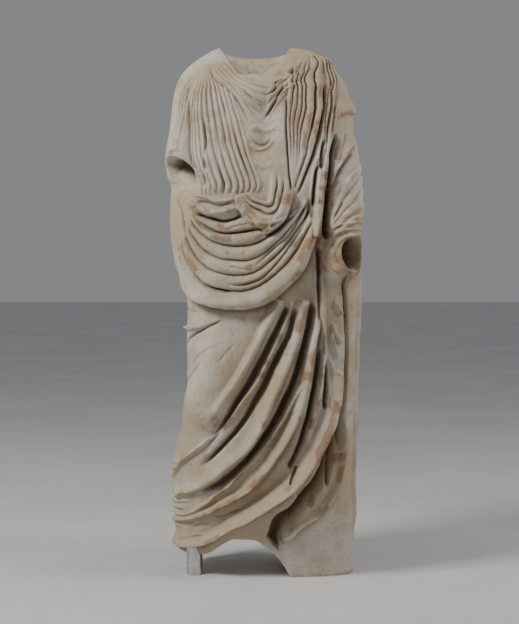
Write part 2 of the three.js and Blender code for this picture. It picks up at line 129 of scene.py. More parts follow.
def plain_form(bearing, height):
    """x, y and z of the uncarved form."""
    s, c = np.sin(np.radians(bearing)), np.cos(np.radians(bearing))
    sheer = 0.9 * ease(s) * ease(2 * c) * ease((1350 - height) / 300)
    square = curve(SQUARENESS, height) + sheer
    reach = (np.abs(s) ** square + np.abs(c) ** square) ** (1 / square)
    right, left = curve(RIGHT_SIDE, height), curve(LEFT_SIDE, height)
    depth = np.where(c > 0, AXIS_Y - curve(FRONT, height), curve(BACK, height) - AXIS_Y)
    x = (left + right) / 2 + (left - right) / 2 * s / reach
    y = AXIS_Y - depth * c / reach
    wrapped = (bearing + 180) % 360 - 180
    at_neck = ease((wrapped + 66) / 50) * ease((60 - wrapped) / 38)
    dip = np.where(c > 0, curve(FRONT_DIP, height) * at_neck, curve(BACK_DIP, height) * c * c)
    z = height + dip
    foot = curve(UNDERSIDE, x)
    return x, y, np.where(z < FOOT_BLEND, foot + z * (1 - foot / FOOT_BLEND), z)


# The stone is carved on a net that is finer at the front, where the work is finer too.
FRONT_STEP = 0.42
BACK_STEP = 0.8
ROWS = 780
front_bearings = np.arange(-100, 100, FRONT_STEP)
back_bearings = np.arange(100, 260, BACK_STEP)
bearings = np.concatenate([front_bearings, back_bearings])
heights = np.linspace(0, HEIGHT, ROWS)
bearing, height = np.meshgrid(bearings, heights)
form = np.stack(plain_form(bearing, height), -1)
ahead = np.stack(plain_form(bearing + 0.5, height), -1)
behind = np.stack(plain_form(bearing - 0.5, height), -1)
per_degree = np.linalg.norm((ahead - behind)[..., :2], axis=-1)
relief = np.zeros_like(bearing)


def noise(points, size, seed):
    """Smooth random values from -1 to 1 that change over that size."""
    p = points / size
    cell = np.floor(p)
    f = p - cell
    f = f * f * (3 - 2 * f)
    cell = cell.astype(np.int64)
    total = 0
    for corner in np.ndindex(2, 2, 2):
        weight = np.prod(np.where(corner, f, 1 - f), axis=-1)
        x, y, z = np.moveaxis(cell + corner, -1, 0)
        n = (x * 73856093) ^ (y * 19349663) ^ (z * 83492791) ^ (seed * 2654435761)
        n = ((n ^ (n >> 13)) * 1274126177) & 0xFFFFFFFF
        n = (n ^ (n >> 16)) & 0xFFFFFF
        total = total + weight * (n / 0x7FFFFF - 1)
    return total


# The carver's hand wanders a little, so every line does.
WANDER = 1.6
TREMBLE = 0.7
near_bearing = bearing + (WANDER * noise(form, 42, 3) + TREMBLE * noise(form, 13, 4)) / per_degree
near_height = height + WANDER * noise(form, 42, 5) + TREMBLE * noise(form, 13, 6)
MM_PER_DEGREE = 3.8


def line(places, steps=7):
    """A smooth line over the stone through a few places."""
    p = np.array(places, float)
    p = np.vstack([2 * p[0] - p[1], p, 2 * p[-1] - p[-2]])
    t = np.linspace(0, 1, steps, endpoint=False)[:, None]
    spans = []
    for a, b, c, d in zip(p, p[1:], p[2:], p[3:]):
        bend = (2 * a - 5 * b + 4 * c - d) * t * t + (3 * b - 3 * c + d - a) * t**3
        spans.append(b + 0.5 * ((c - a) * t + bend))
    return np.vstack(spans + [p[-2:-1]])


def shares_along(run):
    """The share of a line's length at each of its points."""
    lengths = np.hypot(np.diff(run[:, 0]) * MM_PER_DEGREE, np.diff(run[:, 1]))
    return np.append(0, np.cumsum(lengths)) / lengths.sum()


def spread(values, share):
    """One value, or a list spread evenly along a line."""
    if np.ndim(values) == 0:
        return values
    return np.interp(share, np.linspace(0, 1, len(values)), values)


def patch(low, high, turn):
    """The part of the net between two corners, for one turn of the bearings, or None."""
    c0, c1 = np.searchsorted(bearings + turn, (low[0], high[0]))
    r0, r1 = np.searchsorted(heights, (low[1], high[1]))
    return (slice(r0, r1), slice(c0, c1)) if c1 > c0 and r1 > r0 else None


def fold(places, rise, left, right, crisp=0.2, fade=(0.1, 0.1)):
    """Raises a fold along a line, or sinks one. It falls away over left and right of the way the
    line is drawn. crisp sharpens its crest, and fade is the share of each end that runs out."""
    run = line(places)
    arc = shares_along(run)
    reach = max(np.max(left), np.max(right))
    pad = np.array([reach / 2.2, reach])
    for turn in (-360, 0, 360):
        area = patch(run.min(0) - pad, run.max(0) + pad, turn)
        if area is None:
            continue
        nearest = np.full(relief[area].shape, 1e18)
        side = np.zeros_like(nearest)
        share = np.zeros_like(nearest)
        top, start = area[0].start, area[1].start
        for k, (a, b) in enumerate(zip(run, run[1:])):
            part = patch(np.minimum(a, b) - pad, np.maximum(a, b) + pad, turn)
            if part is None:
                continue
            here = (
                slice(part[0].start - top, part[0].stop - top),
                slice(part[1].start - start, part[1].stop - start),
            )
            scale = per_degree[part]
            ex, ey = (b[0] - a[0]) * scale, b[1] - a[1]
            dx = (near_bearing[part] + turn - a[0]) * scale
            dy = near_height[part] - a[1]
            t = np.clip((dx * ex + dy * ey) / (ex * ex + ey * ey), 0, 1)
            distance = (dx - t * ex) ** 2 + (dy - t * ey) ** 2
            better = distance < nearest[here]
            nearest[here] = np.where(better, distance, nearest[here])
            side[here] = np.where(better, ex * dy - ey * dx, side[here])
            share[here] = np.where(better, arc[k] + (arc[k + 1] - arc[k]) * t, share[here])
        width = np.where(side > 0, spread(left, share), spread(right, share))
        t = np.clip(np.sqrt(nearest) / width, 0, 1)
        shape = (1 - crisp) * (1 + np.cos(np.pi * t)) / 2 + crisp * (1 - t) ** 2
        ends = run_out(share, fade)
        relief[area] += spread(rise, share) * shape * ends


def run_out(share, fade):
    """How much of a fold is left at a share along it."""
    ends = 1.0
    if fade[0] > 0:
        ends = ends * ease(share / fade[0])
    if fade[1] > 0:
        ends = ends * ease((1 - share) / fade[1])
    return ends


def gather(first, last, valleys, rise, middle=None, crown=0.65, bite=4, fade=(0.1, 0.05)):
    """Folds side by side between two lines, bulging towards a middle one. valleys are the shares
    of the way across where one fold meets the next, rise is each fold's height, bite is how much
    deeper the chisel went where they meet, and a lower crown makes squarer folds."""
    steps, lanes = 22, 10
    even = np.linspace(0, 1, steps)
    guides = []
    for places in (first, middle or first, last):
        run = line(places)
        arc = shares_along(run)
        guides.append(np.stack([np.interp(even, arc, run[:, 0]), np.interp(even, arc, run[:, 1])], 1))
    a, m, b = guides
    if middle is None:
        m = (a + b) / 2
    lane = np.linspace(0, 1, lanes + 1)[:, None, None]
    net = a * (1 - lane) * (1 - 2 * lane) + m * 4 * lane * (1 - lane) + b * lane * (2 * lane - 1)
    across = np.full(relief.shape, -1.0)
    along = np.zeros_like(relief)
    slack = 1e-3
    pad = np.array([2.5, 6])
    for i, k, turn in np.ndindex(lanes, steps - 1, 3):
        p, q, r, s = net[i, k], net[i + 1, k], net[i, k + 1], net[i + 1, k + 1]
        corners = np.stack([p, q, r, s])
        turn = 360 * (turn - 1)
        part = patch(corners.min(0) - pad, corners.max(0) + pad, turn)
        if part is None:
            continue
        x, y = near_bearing[part] + turn, near_height[part]
        u = np.full(x.shape, 0.5)
        w = np.full(x.shape, 0.5)
        for _ in range(5):
            ex = x - (p[0] * (1 - u) * (1 - w) + q[0] * u * (1 - w) + r[0] * (1 - u) * w + s[0] * u * w)
            ey = y - (p[1] * (1 - u) * (1 - w) + q[1] * u * (1 - w) + r[1] * (1 - u) * w + s[1] * u * w)
            ux, uy = ((q - p)[d] * (1 - w) + (s - r)[d] * w for d in (0, 1))
            wx, wy = ((r - p)[d] * (1 - u) + (s - q)[d] * u for d in (0, 1))
            area = ux * wy - uy * wx
            area = np.where(np.abs(area) < 1e-6, 1e-6, area)
            u = np.clip(u + (ex * wy - ey * wx) / area, -0.6, 1.6)
            w = np.clip(w + (ux * ey - uy * ex) / area, -0.6, 1.6)
        inside = (np.abs(u - 0.5) <= 0.5 + slack) & (np.abs(w - 0.5) <= 0.5 + slack)
        across[part] = np.where(inside, (i + np.clip(u, 0, 1)) / lanes, across[part])
        along[part] = np.where(inside, (k + np.clip(w, 0, 1)) / (steps - 1), along[part])
    valleys = np.array(valleys, float)
    inside = (across >= valleys[0]) & (across <= valleys[-1])
    c, share = across[inside], along[inside]
    k = np.clip(np.searchsorted(valleys, c, side="right") - 1, 0, len(valleys) - 2)
    t = np.clip((c - valleys[k]) / (valleys[k + 1] - valleys[k]), 0, 1)
    span = np.interp(share, even, np.hypot((b - a)[:, 0] * MM_PER_DEGREE, (b - a)[:, 1]))
    breadth = span * (valleys[k + 1] - valleys[k])
    from_edge = np.minimum(c - valleys[0], valleys[-1] - c) * span
    crown = crown + (1.3 - crown) * (1 - ease(from_edge / 14))
    height_of = np.minimum(np.take(rise, k, mode="wrap"), 0.55 * breadth)
    cut = bite * ease(from_edge / 5) * np.minimum(1, breadth / 8)
    cut = cut * np.exp(-((np.minimum(t, 1 - t) * breadth / 2.2) ** 2))
    relief[inside] += (height_of * np.sin(np.pi * t) ** crown - cut) * run_out(share, fade)


def socket(at, wide, tall, depth, wall=6, slope=0.0, turn=0.0):
    """Sinks an oval hole. slope lifts its floor towards its lower end, turn tips it over."""
    global relief
    u = (bearing - at[0]) * per_degree
    v = height - at[1]
    c, s = math.cos(math.radians(turn)), math.sin(math.radians(turn))
    u, v = (u * c + v * s) / wide, (v * c - u * s) / tall
    r = np.hypot(u, v)
    rim = wall / min(wide, tall)
    open_ = ease((1 + rim - r) / rim)
    floor = depth * (1 - slope * ease((0.2 - v) / 1.1)) * (1 - 0.25 * np.clip(r, 0, 1) ** 2)
    relief = relief * (1 - open_) + open_ * (0.2 * np.minimum(relief, 0) - floor)



# The great forms under the cloth.
fold(
    [(-33, 708), (-40.5, 584), (-45.5, 456), (-43.5, 344)],
    rise=(18, 34, 40, 10), left=120, right=110, crisp=0, fade=(0.3, 0.3),
)
fold([(-38, 884), (-17.5, 856), (4, 896)], rise=16, left=90, right=60, crisp=0, fade=(0.3, 0.3))
fold(
    [(-65, 1316), (-53, 1200), (-56.5, 1100)],
    rise=(4, 22, 34), left=60, right=60, crisp=0, fade=(0.3, 0.1),
)
fold(
    [(51, 1084), (46, 988), (44, 884), (45.5, 806)],
    rise=(14, 44, 60, 30), left=70, right=75, crisp=0, fade=(0.2, 0.25),
)

# The tunic's folds fan out over the chest.
gather(
    first=[(-52, 1468), (-47, 1408), (-47, 1312), (-43.5, 1226), (-40.5, 1156), (-39, 1068)],
    last=[
        (-47, 1472), (-22.5, 1416), (-14, 1312), (-8.5, 1228), (-4.5, 1160), (-2, 1104), (-4.5, 1072),
    ],
    valleys=[0, 0.07, 0.14, 0.22, 0.32, 0.43, 0.54, 0.65, 0.74, 0.83, 0.92, 1.0],
    rise=[6, 5, 8, 7, 10, 9, 8, 10, 8, 7, 8], crown=0.6, fade=(0.12, 0.03), bite=3,
)
for places, depth in [
    ([(-52.5, 1386), (-45.5, 1264), (-41.5, 1184), (-41, 1112)], 9),
    ([(-36, 1298), (-32, 1196), (-36, 1084)], 8),
    ([(-28, 1266), (-24.5, 1180), (-23.5, 1078)], 6),
    ([(-49.5, 1468), (-21.5, 1388), (-7, 1272)], 7),
    ([(-27, 1368), (-17.5, 1260), (-10, 1152), (-5, 1092)], 5),
]:
    fold(places, rise=-depth, left=5, right=5, crisp=0.6, fade=(0.2, 0.08))

# Faint folds down the sleeve.
gather(
    first=[(-52.5, 1444), (-63.5, 1344), (-60, 1228), (-63, 1184)],
    last=[(-49.5, 1452), (-49, 1360), (-47.5, 1256), (-43.5, 1180)],
    valleys=[0, 0.3, 0.55, 0.8, 1], rise=[2.5, 2, 3], fade=(0.2, 0.2),
)

# The neckline.
gather(
    first=[(-50.5, 1484), (-32, 1496), (-10, 1454), (2, 1424), (10, 1428)],
    last=[(-47, 1468), (-22.5, 1406), (-11, 1322), (-3.5, 1284), (1.5, 1274)],
    valleys=[0, 0.2, 0.42, 0.62, 0.82, 1], rise=[7, 6, 5, 6, 5], crown=0.6, fade=(0.12, 0.15), bite=3,
)
gather(
    first=[(42.5, 1492), (27.5, 1492), (9, 1418), (4.5, 1396)],
    last=[(16, 1378), (9.5, 1332), (5, 1300), (0, 1268)],
    valleys=[0, 0.28, 0.55, 0.8, 1], rise=[9, 8, 8, 6], crown=0.6, fade=(0.1, 0.1), bite=4,
)
fold(
    [(39, 1492), (14.5, 1440), (7, 1372), (-2.5, 1368)],
    rise=-11, left=6, right=7, crisp=0.4, fade=(0.15, 0.3),
)
fold([(17, 1424), (7.5, 1336), (0, 1274)], rise=-13, left=6, right=6, crisp=0.4, fade=(0.2, 0.2))
fold([(-12, 1398), (-5, 1342), (2.5, 1322)], rise=-7, left=5, right=5, crisp=0.4, fade=(0.2, 0.2))

# The hollow between the two fans.
fold([(0.5, 1378), (1.5, 1264), (-1.5, 1152)], rise=-14, left=55, right=50, crisp=0, fade=(0.3, 0.3))

# The broken knot, with a shallow loop under it.
fold(
    [(-8, 1244), (-3, 1260), (4, 1252), (10.5, 1268)],
    rise=7, left=12, right=8, crisp=0.1, fade=(0.3, 0.3),
)
fold(
    [(-7.5, 1216), (-3.5, 1196), (3, 1204), (7, 1232)],
    rise=7, left=9, right=6, crisp=0.2, fade=(0.2, 0.2),
)
fold(
    [(-7, 1226), (-2, 1212), (3, 1216), (6.5, 1240)],
    rise=-6, left=5, right=5, crisp=0.3, fade=(0.2, 0.3),
)
fold([(-6, 1168), (-0.5, 1144), (6.5, 1158)], rise=3, left=9, right=6, crisp=0.2, fade=(0.3, 0.3))

# Strands over the left shoulder.
gather(
    first=[(52, 1494), (26, 1484), (15.5, 1346), (15, 1264), (15, 1196), (14.5, 1128), (13.5, 1050)],
    last=[
        (57, 1468), (44.5, 1408), (39, 1344), (35.5, 1264), (30.5, 1216), (27, 1168), (22, 1122),
        (15.5, 1048),
    ],
    valleys=[0, 0.14, 0.27, 0.4, 0.51, 0.77, 1.0], rise=[10, 8, 10, 8, 11, 11], crown=0.65,
    fade=(0.0, 0.03), bite=5,
)
gather(
    first=[(58, 1468), (39.5, 1344), (35.5, 1252), (30, 1180), (26, 1124), (24.5, 1056)],
    last=[(72.5, 1456), (53, 1356), (47.5, 1284), (40.5, 1196), (35, 1112), (33, 960)],
    valleys=[0, 0.25, 0.5, 0.78, 1.0], rise=[10, 9, 11, 9], crown=0.65, fade=(0.0, 0.1), bite=5,
)
for places, depth in [
    ([(15.5, 1360), (15, 1264), (14.5, 1152), (13.5, 1066)], 12),
    ([(39, 1408), (32.5, 1332), (29.5, 1246)], 7),
    ([(44.5, 1408), (36, 1276), (27.5, 1172), (16.5, 1060)], 18),
    ([(52, 1416), (40.5, 1268), (35, 1196)], 8),
    ([(24, 1188), (21, 1144), (16, 1084)], 9),
    ([(61, 1416), (52, 1356), (45, 1296)], 8),
]:
    fold(places, rise=-depth, left=6, right=6, crisp=0.4, fade=(0.15, 0.12))
fold(
    [(46, 1254), (39.5, 1182), (35.5, 1088)],
    rise=(-20, -40, -40), left=10, right=12, crisp=0.1, fade=(0.25, 0.1),
)
fold(
    [(36, 1112), (34, 1042), (33.5, 944)],
    rise=(-36, -50, -46), left=12, right=12, crisp=0.1, fade=(0.2, 0.1),
)
fold([(36, 1230), (33, 1182), (31.5, 1136)], rise=-20, left=7, right=7, crisp=0.2, fade=(0.2, 0.15))
fold([(30.5, 1162), (27.5, 1096), (27, 1032)], rise=-24, left=7, right=8, crisp=0.2, fade=(0.2, 0.15))
fold([(33, 1154), (30, 1084), (28, 952)], rise=18, left=12, right=14, crisp=0.1, fade=(0.2, 0.02))

# Folds on the left arm.
fold([(56.5, 1256), (48, 1208), (41, 1144)], rise=-6, left=5, right=7, crisp=0.4, fade=(0.2, 0.1))
fold(
    [(61.5, 1212), (49, 1178), (42.5, 1146), (39, 1128)],
    rise=9, left=4, right=14, crisp=0.2, fade=(0.05, 0.2),
)
fold(
    [(58, 1194), (45.5, 1156), (40, 1118), (36, 1078), (33.5, 1024)],
    rise=-16, left=9, right=7, crisp=0.3, fade=(0.1, 0.2),
)
gather(
    first=[(63.5, 1178), (45.5, 1118), (40, 1068), (35, 996)],
    last=[(81, 1028), (49, 996), (40.5, 970), (34, 940)],
    valleys=[0, 0.26, 0.5, 0.74, 1], rise=[9, 7, 8, 9], crown=0.6, fade=(0.05, 0.1), bite=4,
)
fold([(42.5, 1048), (40, 1028), (37.5, 1008)], rise=-9, left=4, right=5, crisp=0.4, fade=(0.2, 0.2))
fold(
    [(84, 1310), (59.5, 1304), (49.5, 1290), (45, 1288)],
    rise=11, left=5, right=60, crisp=0.1, fade=(0.02, 0.2),
)
for places in [
    [(41, 860), (36.5, 884), (36, 918), (41, 954), (52.5, 954)],
    [(40.5, 844), (33.5, 876), (33, 922), (40, 972), (56.5, 972)],
    [(39.5, 828), (31, 868), (30, 928), (39, 988), (64, 990)],
]:
    fold(places, rise=8, left=6, right=6, crisp=0.2, fade=(0.2, 0.2))

# The overfold across the hips.
hem = [(-66.5, 918), (-65, 860), (-62, 800), (-34, 760), (-7, 768), (16, 846), (26, 932), (29.5, 1014)]
fold(
    hem, rise=(2, 22, 34, 34, 34, 30, 24), left=(30, 70, 90, 90, 40), right=6, crisp=0.0,
    fade=(0.04, 0.04),
)
gather(
    first=[(-45.5, 1048), (-36, 1012), (-25, 996), (-13, 1008), (0.5, 996), (14, 1014), (22.5, 1052)],
    last=[(-61, 936), (-60.5, 856), (-53.5, 776), (-34, 760), (-7, 768), (16, 846), (26.5, 944)],
    middle=[
        (-49, 996), (-44, 944), (-35.5, 900), (-22.5, 880), (-8.5, 884), (4, 924), (16, 984),
        (24.5, 1048),
    ],
    valleys=[0, 0.15, 0.3, 0.46, 0.62, 0.8, 1.0], rise=[11, 15, 13, 10, 13, 10], crown=0.75,
    fade=(0.06, 0.03), bite=7,
)
dark = (
    ([(-41.5, 1018), (-31.5, 1004), (-25, 996), (-18.5, 1000), (-13, 1014)], -22, 8, 7),
    ([(-41.5, 1000), (-35, 978), (-27.5, 964), (-19, 962), (-4.5, 976)], -12, 5, 6),
    ([(-21, 976), (-17, 982), (-9.5, 990)], -6, 4, 4),
    ([(-9, 868), (1.5, 912), (14, 964), (24, 1048)], -12, 6, 6),
    ([(-27, 828), (-16.5, 824), (-3.5, 846), (11.5, 916), (21.5, 988), (25.5, 1068)], -14, 6, 6),
    ([(-48.5, 884), (-45, 842), (-36, 812), (-23.5, 804)], -13, 6, 6),
    ([(-22.5, 872), (-9, 862)], -7, 5, 4),
    ([(-62.5, 1070), (-54, 1024), (-50.5, 956)], -9, 6, 6),
)
for places, depth, above, below in dark:
    fold(places, rise=depth, left=above, right=below, crisp=0.3, fade=(0.12, 0.12))

# The roll across the waist, with its broken edge.
fold(
    [(-47.5, 1056), (-39, 1034), (-27.5, 1020), (-13.5, 1036)],
    rise=16, left=14, right=16, crisp=0.0, fade=(0.1, 0.15),
)
fold(
    [(-44.5, 1074), (-35.5, 1060), (-28.5, 1052), (-22.5, 1054), (-18, 1060)],
    rise=10, left=3, right=6, crisp=0.1, fade=(0.08, 0.08),
)
fold(
    [(-41.5, 1052), (-33, 1048), (-26, 1040), (-18.5, 1052)],
    rise=-10, left=4, right=4, crisp=0.3, fade=(0.15, 0.15),
)

# The umbo, a pouch of cloth drawn over the roll.
fold(
    [(-17, 1068), (-15, 1032), (-9.5, 996), (-2, 976), (2, 970)],
    rise=22, left=60, right=5, crisp=0.0, fade=(0.03, 0.03),
)
fold(
    [(1.5, 968), (6, 986), (11, 1006), (14, 1056), (14.5, 1096)],
    rise=22, left=60, right=5, crisp=0.0, fade=(0.02, 0.3),
)
gather(
    first=[(-13.5, 1076), (-8.5, 1066), (-3.5, 1056), (0.5, 1056), (1.5, 1084), (4, 1144)],
    last=[(-16, 1056), (-10.5, 1014), (-2, 978), (7, 996), (13, 1040), (14.5, 1132)],
    middle=[(-12, 1060), (-8, 1040), (-1.5, 1030), (2.5, 1022), (6.5, 1040), (9.5, 1140)],
    valleys=[0, 0.32, 0.62, 1], rise=[10, 12, 12], crown=0.6, fade=(0.06, 0.3), bite=7,
)
fold([(-11, 1024), (-6, 988), (-3.5, 976)], rise=-7, left=4, right=4, crisp=0.4, fade=(0.15, 0.1))
fold([(-8.5, 1040), (-5, 1016), (-1, 1000)], rise=-5, left=4, right=4, crisp=0.4, fade=(0.15, 0.2))
fold(
    [(-2.5, 956), (2.5, 960), (8, 980), (15, 1014)],
    rise=-18, left=7, right=8, crisp=0.1, fade=(0.2, 0.2),
)

# The long folds of the lower half.
fold(
    [(5, 780), (-3, 712), (-14, 612), (-25.5, 520), (-37, 430)],
    rise=(16, 30, 30, 22, 6), left=11, right=26, crisp=0.1, fade=(0.02, 0.1),
)
fold(
    [(10, 766), (2.5, 688), (-9, 592), (-20, 508), (-32, 412), (-42, 360)],
    rise=-30, left=13, right=14, crisp=0.1, fade=(0.05, 0.2),
)
fold(
    [(12.5, 784), (8, 716), (2, 652), (-7.5, 566), (-19, 488), (-36.5, 388), (-71, 264)],
    rise=(12, 16, 18, 18, 18, 14, 10), left=8, right=14, crisp=0.4, fade=(0.05, 0.03),
)
fold(
    [(14.5, 766), (11, 684), (1.5, 600), (-6, 536), (-15.5, 452), (-27.5, 372), (-40.5, 300)],
    rise=-30, left=13, right=14, crisp=0.1, fade=(0.08, 0.15),
)
fold(
    [(21.5, 784), (18, 716), (12.5, 622), (3, 520), (-8, 388), (-21.5, 312), (-40, 250), (-67.5, 200)],
    rise=(20, 26, 30, 32, 30, 26, 18, 10), left=11, right=36, crisp=0.15, fade=(0.02, 0.02),
)
fold(
    [
        (25, 780), (22.5, 682), (17.5, 592), (10.5, 508), (1, 420), (-10.5, 330), (-24.5, 272),
        (-42.5, 224),
    ],
    rise=(-26, -40, -42, -44, -40, -38, -30, -10), left=15, right=14, crisp=0.1, fade=(0.05, 0.1),
)
fold(
    [(22.5, 572), (9, 448), (-3.5, 356), (-18.5, 270), (-39, 180), (-56, 144), (-83, 132)],
    rise=(8, 16, 18, 16, 14, 12, 8), left=7, right=12, crisp=0.4, fade=(0.1, 0.02),
)
fold(
    [
        (29, 918), (30, 780), (27, 664), (24, 576), (20, 484), (12, 386), (0, 292), (-21.5, 188),
        (-46.5, 136), (-83, 96),
    ],
    rise=(14, 20, 24, 28, 30, 30, 26, 20, 14, 8), left=10, right=30, crisp=0.15, fade=(0.1, 0.02),
)
fold(
    [(30.5, 654), (28, 544), (24.5, 448), (20, 364), (15.5, 308)],
    rise=(-20, -36, -44, -36, -20), left=11, right=10, crisp=0.1, fade=(0.1, 0.04),
)
fold(
    [(31, 780), (32.5, 640), (31.5, 528), (28, 452), (24, 356)],
    rise=16, left=10, right=14, crisp=0.3, fade=(0.1, 0.2),
)
fold([(33.5, 608), (34.5, 544), (34.5, 472)], rise=-26, left=6, right=6, crisp=0.1, fade=(0.15, 0.1))
fold([(34.5, 608), (36.5, 528), (36.5, 460)], rise=8, left=7, right=6, crisp=0.3, fade=(0.1, 0.2))
fold([(21, 324), (19, 296), (16.5, 268)], rise=-20, left=6, right=6, crisp=0.2, fade=(0.2, 0.1))
fold(
    [
        (44.5, 604), (44, 522), (41, 444), (32.5, 354), (23.5, 280), (6.5, 202), (-14.5, 92), (-34, 46),
        (-82.5, 6),
    ],
    rise=(16, 24, 34, 44, 50, 50, 40, 24, 10), left=7, right=46, crisp=0.0, fade=(0.05, 0.02),
)

# The stone cut back behind the hem.
fold(
    [(45, 500), (40, 388), (33, 292), (21.5, 222), (7.5, 136), (1, 32)],
    rise=(-20, -50, -60, -60, -60, -50), left=40, right=8, crisp=0.0, fade=(0.1, 0.02),
)
fold(
    [(52, 448), (50.5, 344), (44, 246), (34.5, 184), (22, 144), (10, 84)],
    rise=(8, 14, 18, 20, 20, 16), left=6, right=20, crisp=0.1, fade=(0.1, 0.02),
)
fold(
    [(45, 500), (45, 416), (42, 346), (38, 248)], rise=-22, left=6, right=6, crisp=0.2, fade=(0.2, 0.1)
)

# The cloth that falls from the left arm.
fold(
    [(42.5, 862), (46, 778), (50, 638), (49, 498), (47, 388), (44.5, 324)],
    rise=(-20, -30, -40, -40, -24, -12), left=9, right=9, crisp=0.1, fade=(0.05, 0.15),
)
fold(
    [(29, 932), (28.5, 808), (29, 696)],
    rise=(-34, -30, -16), left=12, right=9, crisp=0.1, fade=(0.1, 0.2),
)
for places in [
    [(39, 784), (41, 756), (45, 740)],
    [(37.5, 716), (40.5, 684), (46, 658)],
    [(37, 692), (39.5, 652), (43, 616)],
    [(36, 618), (38.5, 590), (42, 572)],
]:
    fold(places, rise=12, left=5, right=9, crisp=0.3, fade=(0.1, 0.1))

# Pulled lines over the thigh.
fold(
    [(-85, 644), (-53, 688), (-41.5, 708), (-29, 732)],
    rise=-12, left=5, right=7, crisp=0.4, fade=(0.03, 0.2),
)
fold([(-83.5, 696), (-57, 698), (-44, 714)], rise=14, left=8, right=9, crisp=0.3, fade=(0.01, 0.3))
for places, height_here in [
    ([(-72, 552), (-52.5, 608), (-41, 648), (-24.5, 682)], 5),
    ([(-75.5, 528), (-54, 572), (-40, 616)], -6),
    ([(-33.5, 604), (-23.5, 660)], -4),
    ([(-70, 622), (-53.5, 652)], 4),
    ([(-90, 752), (-46, 740)], -4),
]:
    fold(places, rise=height_here, left=5, right=6, crisp=0.4, fade=(0.1, 0.3))
for places in [
    [(-77, 312), (-58, 322), (-47.5, 344)],
    [(-75, 298), (-56.5, 304)],
    [(-84, 172), (-52, 196), (-42.5, 212)],
    [(-73.5, 156), (-52, 172)],
    [(-83.5, 80), (-54.5, 100)],
]:
    fold(places, rise=7, left=5, right=5, crisp=0.3, fade=(0.0, 0.3))
fold([(-46, 104), (-39.5, 116), (-34, 106)], rise=-5, left=4, right=4, fade=(0.2, 0.2))
fold([(-32, 142), (-24, 128), (-13.5, 152)], rise=-6, left=5, right=4, fade=(0.2, 0.2))
fold([(-63, 44), (-44, 70), (-35, 76)], rise=-6, left=5, right=5, fade=(0.2, 0.2))

# The back, which is plainer.
gather(
    first=[(178, 1400), (205, 1230), (235, 1060), (268, 920)],
    last=[(112, 1400), (130, 1120), (170, 830), (230, 560), (268, 440)],
    valleys=[0, 0.08, 0.16, 0.23, 0.3, 0.39, 0.47, 0.55, 0.62, 0.71, 0.8, 0.9, 1],
    rise=[9, 11, 12, 9, 10, 12, 9, 12, 10, 11, 9, 8], crown=0.6, fade=(0.15, 0.15), bite=4,
)
gather(
    first=[(118, 1240), (138, 900), (180, 560), (232, 300), (270, 190)],
    last=[(96, 900), (104, 560), (118, 260), (134, 20)],
    valleys=[0, 0.1, 0.2, 0.29, 0.38, 0.48, 0.58, 0.68, 0.78, 0.89, 1],
    rise=[10, 12, 9, 12, 10, 12, 9, 12, 10, 9], crown=0.6, fade=(0.15, 0.03), bite=4,
)
gather(
    first=[(62, 830), (64, 600), (66, 400), (66, 180)],
    last=[(96, 900), (104, 560), (112, 300), (120, 20)],
    valleys=[0, 0.17, 0.35, 0.51, 0.68, 0.84, 1], rise=[9, 11, 9, 11, 10, 9], crown=0.6,
    fade=(0.15, 0.1), bite=4,
)

# The sockets of the lost hand and forearm.
socket((45.5, 908), wide=26, tall=38, depth=75, wall=6)
socket((-52, 1136), wide=44, tall=34, depth=70, wall=7, slope=0.75, turn=-25)

# A light smoothing takes the net's own steps out of the carving.
relief = (np.roll(relief, 1, 1) + 2 * relief + np.roll(relief, -1, 1)) / 4
relief[1:-1] = (relief[:-2] + 2 * relief[1:-1] + relief[2:]) / 4


def around(values, rows, columns):
    """Each value's mean over that many rows and columns of the net on either side."""
    wide = np.pad(values, ((rows + 1, rows), (0, 0)), mode="edge").cumsum(0)
    values = (wide[2 * rows + 1:] - wide[:-2 * rows - 1]) / (2 * rows + 1)
    wide = np.pad(values, ((0, 0), (columns + 1, columns)), mode="wrap").cumsum(1)
    return (wide[:, 2 * columns + 1:] - wide[:, :-2 * columns - 1]) / (2 * columns + 1)


# Crests have been knocked off here and there, and the breaks are rough and brown.
crest = relief - around(around(relief, 6, 8), 6, 8)
patches = noise(form, 55, 11) + 0.6 * noise(form, 19, 12)
broken = ease((crest - 1.6) / 2.5) * ease((patches - 0.25) / 0.35)
relief -= broken * (1.2 + 1.6 * noise(form, 5, 13) + 1.0 * noise(form, 11, 14))

# The weather has roughened the whole skin a little, and pitted it.
relief += 0.5 * noise(form, 30, 15) + 0.22 * noise(form, 9, 16)

# Painted shade: points that sink below their near surroundings, in the narrow creases between folds, are
# darkened to a deep earth brown in the material.
crease_shade = ease((around(around(relief, 5, 6), 5, 6) - relief) / 9)
# Painted shade: points that sink below their wider surroundings, in the broad recesses, are darkened to honey
# brown in the material.
recess_shade = ease((around(around(relief, 18, 22), 18, 22) - relief) / 26)

outward = np.cross(np.roll(form, -1, 1) - np.roll(form, 1, 1), np.gradient(form, axis=0))
outward /= np.linalg.norm(outward, axis=-1, keepdims=True)
outward[..., 2] *= ease(height / 120)
skin = form + outward * relief[..., None]

# Rings close the skin below, up to the broken underside, and above, down into the broken neck.
FOOT_RINGS = 5
rings = []
foot_middle = skin[0].mean(0)
for share in np.linspace(0.97, 0.15, FOOT_RINGS):
    ring = skin[0] + (foot_middle - skin[0]) * share
    ring[:, 2] = curve(UNDERSIDE, ring[:, 0])
    rings.append(ring)
rings += list(skin)
NECK_SHARES = (0.04, 0.1, 0.17, 0.25, 0.34, 0.44, 0.55, 0.67, 0.8, 0.92)
neck_middle = skin[-1].mean(0)
neck_middle[2] = NECK_FLOOR
for share in NECK_SHARES:
    ring = skin[-1] + (neck_middle - skin[-1]) * share
    ring[:, 2] = skin[-1][:, 2] + (NECK_FLOOR - skin[-1][:, 2]) * share**0.6
    ring[:, 2] += 5 * noise(ring, 26, 17) + 3 * noise(ring, 9, 18)
    rings.append(ring)
rings = np.stack(rings)
foot_middle[2] = curve(UNDERSIDE, foot_middle[0])

